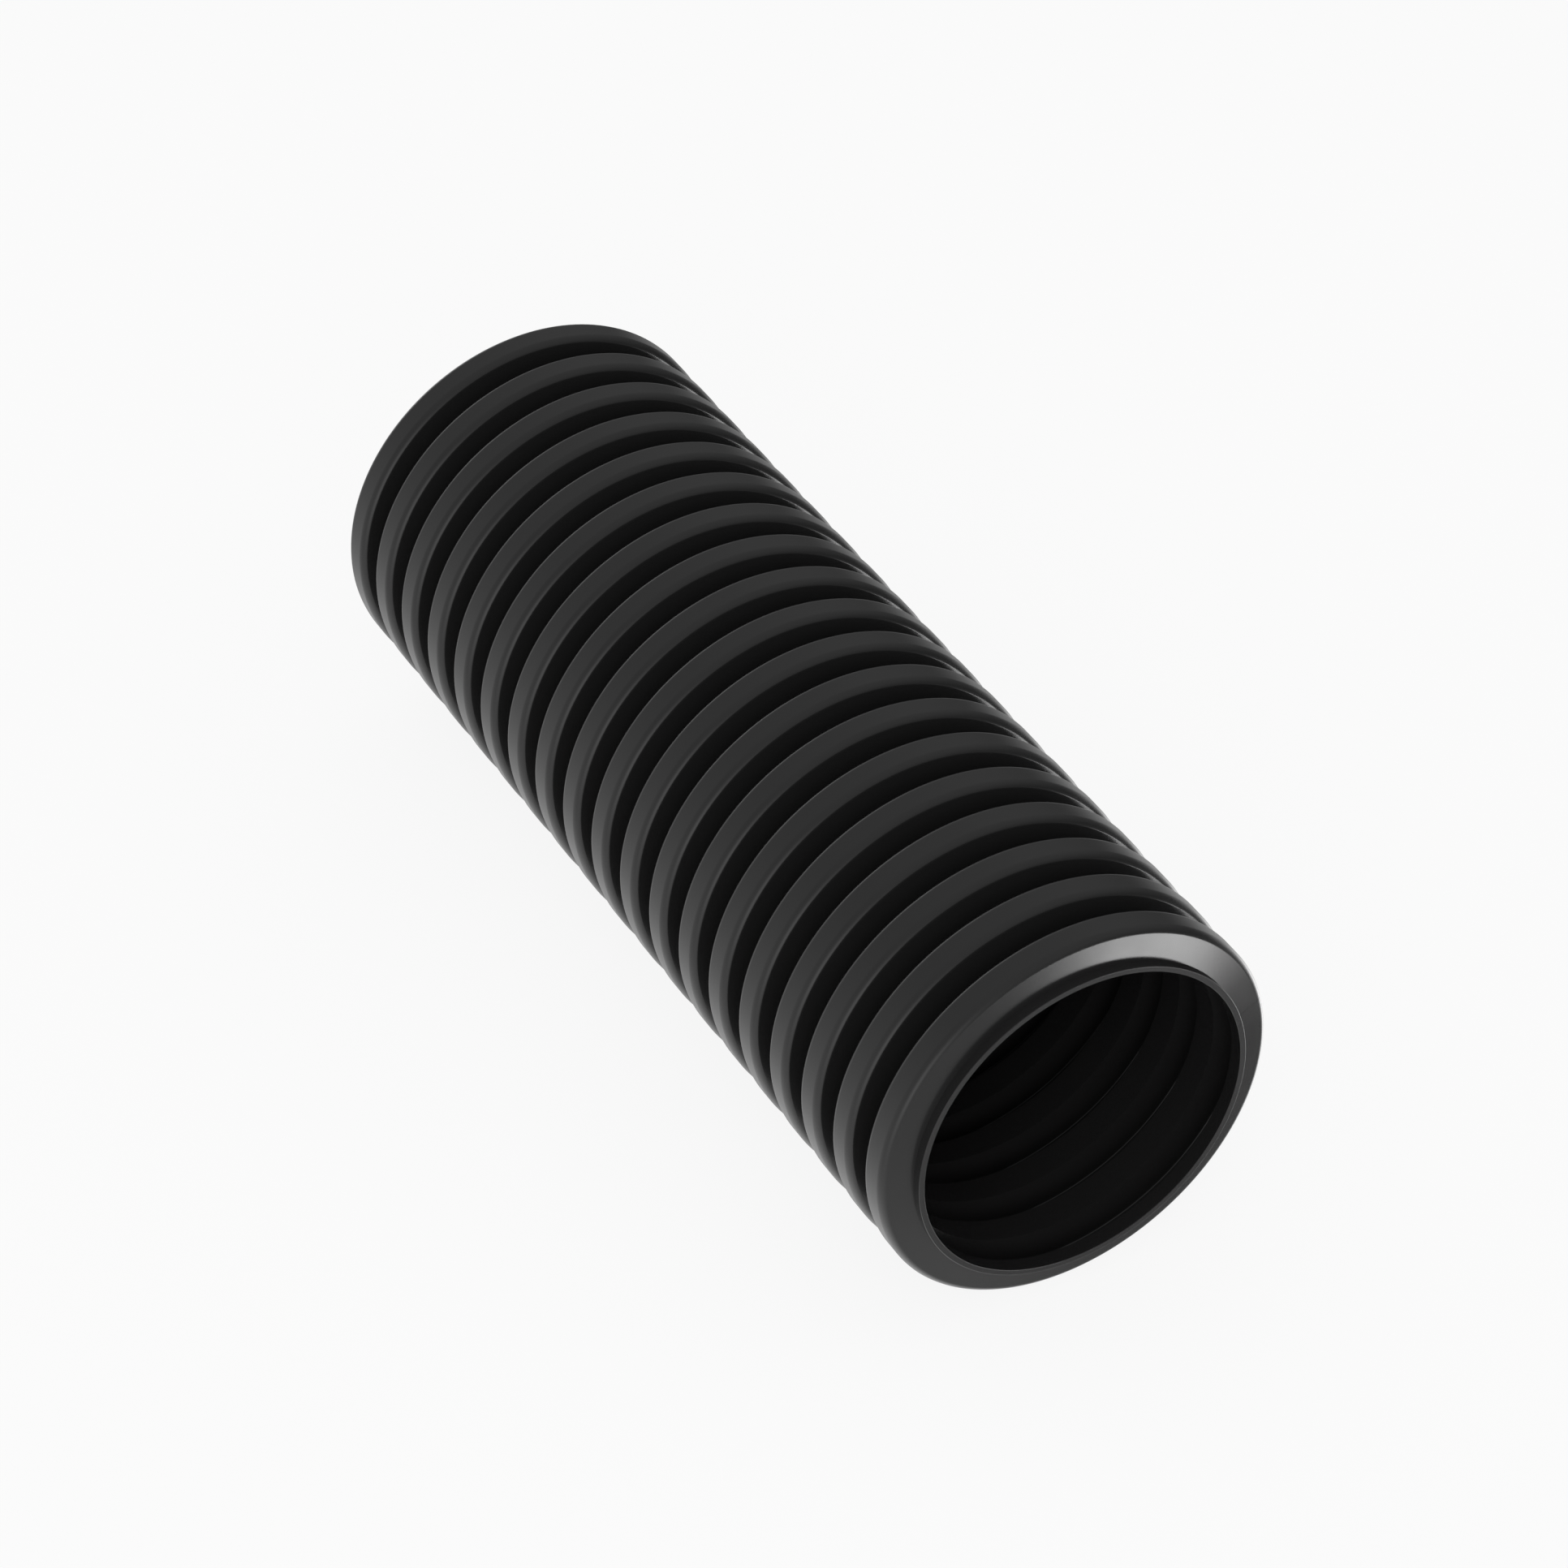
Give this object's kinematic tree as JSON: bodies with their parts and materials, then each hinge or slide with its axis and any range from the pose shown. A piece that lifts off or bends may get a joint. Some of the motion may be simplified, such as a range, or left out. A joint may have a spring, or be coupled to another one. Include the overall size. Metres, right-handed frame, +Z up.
{
  "type": "split wire loom",
  "caption": "Cut length of black convoluted plastic loom tube, slit along its length, that is pushed over wires to bundle and guard them.",
  "frame": {"origin": "the middle of the tube's length, on the floor straight below its axis", "axes": "+X along the tube towards the end that faces the viewer, +Z up, the slit on the +Y side"},
  "size_m": [0.0656, 0.0246, 0.0246],
  "materials": {
    "black_plastic": "semi-matt moulded black polyethylene"
  },
  "bodies": {
    "root": {"loom_tube": "black_plastic"}
  },
  "joints": []
}
